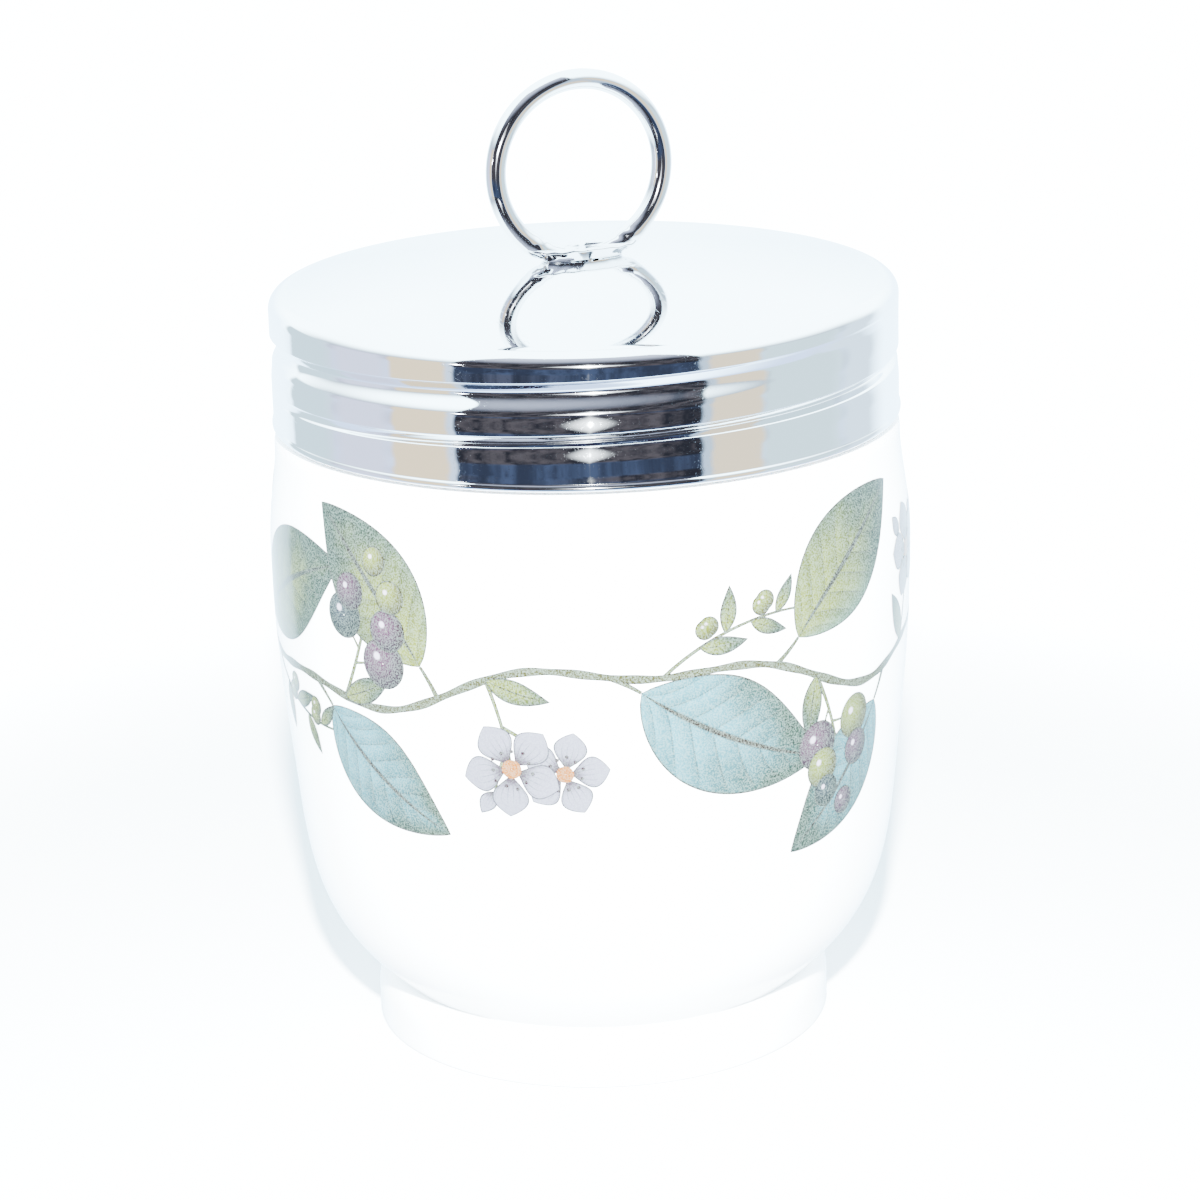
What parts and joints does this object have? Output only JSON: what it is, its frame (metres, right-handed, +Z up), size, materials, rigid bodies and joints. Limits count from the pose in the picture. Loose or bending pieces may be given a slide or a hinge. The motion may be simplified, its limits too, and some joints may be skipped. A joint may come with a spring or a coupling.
{
  "type": "egg coddler",
  "caption": "Lidded porcelain cup on a foot ring for cooking an egg in hot water, with a domed metal screw lid and a lifting ring on its crown.",
  "frame": {"origin": "centre of the foot ring's ground face, where the cup stands on the table", "axes": "+Z up along the axis of the cup and lid; the lifting ring stands in the XZ plane with its hole along Y"},
  "size_m": [0.06, 0.06, 0.0908],
  "materials": {
    "porcelain": "clear glossy glaze over white bone porcelain, with a printed garland round the bowl",
    "plated_sheet": "bright plated pressed sheet with fine rubbing marks",
    "plated_wire": "bright plated round wire",
    "plated_casting": "bright plated, a little uneven where it is brazed to the ring",
    "washer_metal": "plain steel washer"
  },
  "bodies": {
    "cup": {"coddler_cup": "porcelain"},
    "lid_carrier": {"rivet_washer": "washer_metal"},
    "lid": {"lid_cap": "plated_sheet", "lifting_ring": "plated_wire", "ring_foot": "plated_casting"}
  },
  "joints": [
    {"name": "lid_rise", "type": "slide", "parent": "cup", "child": "lid_carrier", "axis": [0, 0, 1], "range_m": [0, 0.024]},
    {"name": "lid_turn", "type": "hinge", "parent": "lid_carrier", "child": "lid", "pos_m": [0, 0, 0.0723], "axis": [0, 0, 1], "range_deg": [0, 2160]}
  ],
  "couplings": [
    {"joint": "lid_rise", "follows": "lid_turn", "m_per_rad": 0.00063662}
  ]
}
